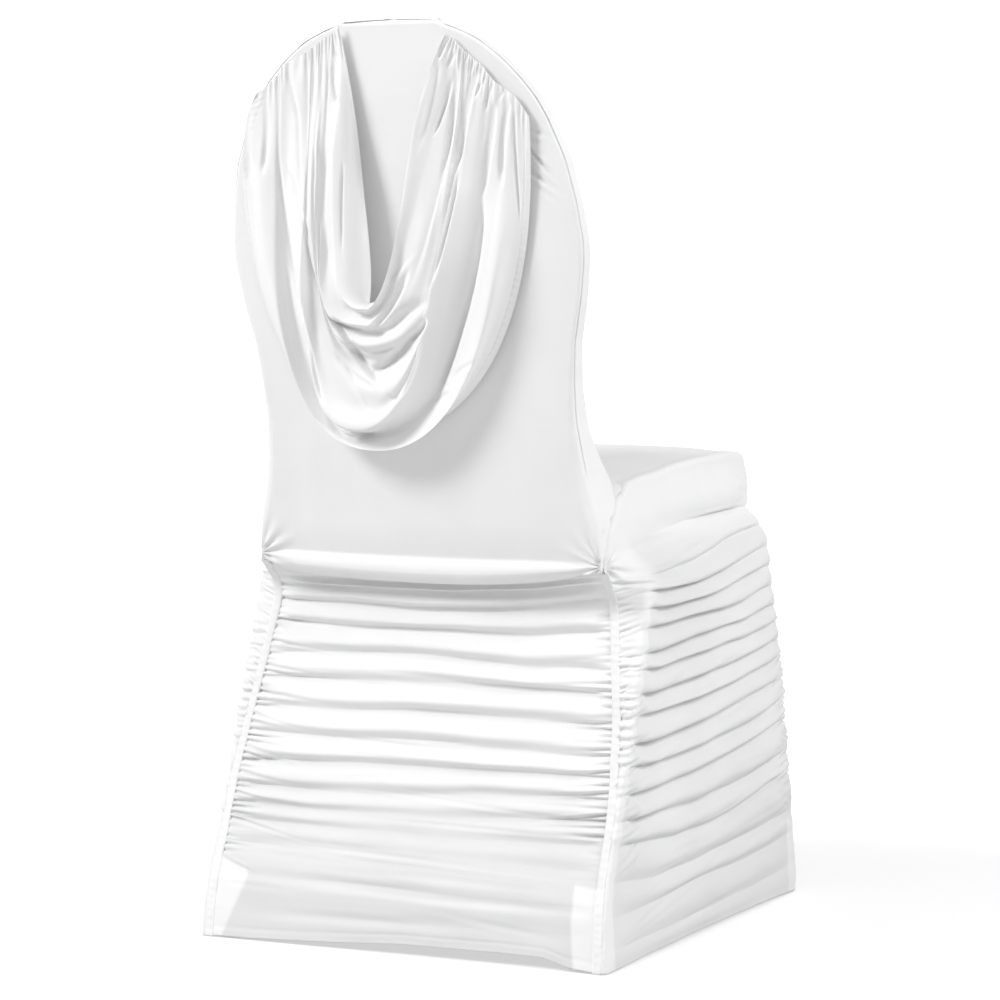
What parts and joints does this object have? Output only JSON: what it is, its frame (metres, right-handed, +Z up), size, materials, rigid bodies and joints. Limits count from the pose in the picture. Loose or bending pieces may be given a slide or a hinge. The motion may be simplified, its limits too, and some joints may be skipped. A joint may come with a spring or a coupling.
{
  "type": "banquet chair cover",
  "caption": "Fitted stretch-knit cover for a round-topped banquet chair, with a cowl drape on the back, ruched skirts and foot pockets.",
  "frame": {"origin": "on the floor, at the middle of the bounding box", "axes": "+Z up, the front of the chair faces -Y, +X is the left-hand side of the cover as seen in the picture from behind"},
  "size_m": [0.4658, 0.5468, 0.9398],
  "materials": {
    "white_knit": "matt stretch knit with a faint sheen",
    "pocket_knit": "matt, double layer"
  },
  "bodies": {
    "root": {"back_outer": "white_knit", "back_inner": "white_knit", "back_boxing": "white_knit", "seat_panel": "white_knit", "skirt_rear": "white_knit", "skirt_front": "white_knit", "skirt_left": "white_knit", "skirt_right": "white_knit", "seam_band_rear_left": "white_knit", "seam_band_rear_right": "white_knit", "seam_band_front_left": "white_knit", "seam_band_front_right": "white_knit", "foot_pocket_rear_left": "pocket_knit", "foot_pocket_rear_right": "pocket_knit", "foot_pocket_front_left": "pocket_knit", "foot_pocket_front_right": "pocket_knit", "swag": "white_knit"}
  },
  "joints": []
}
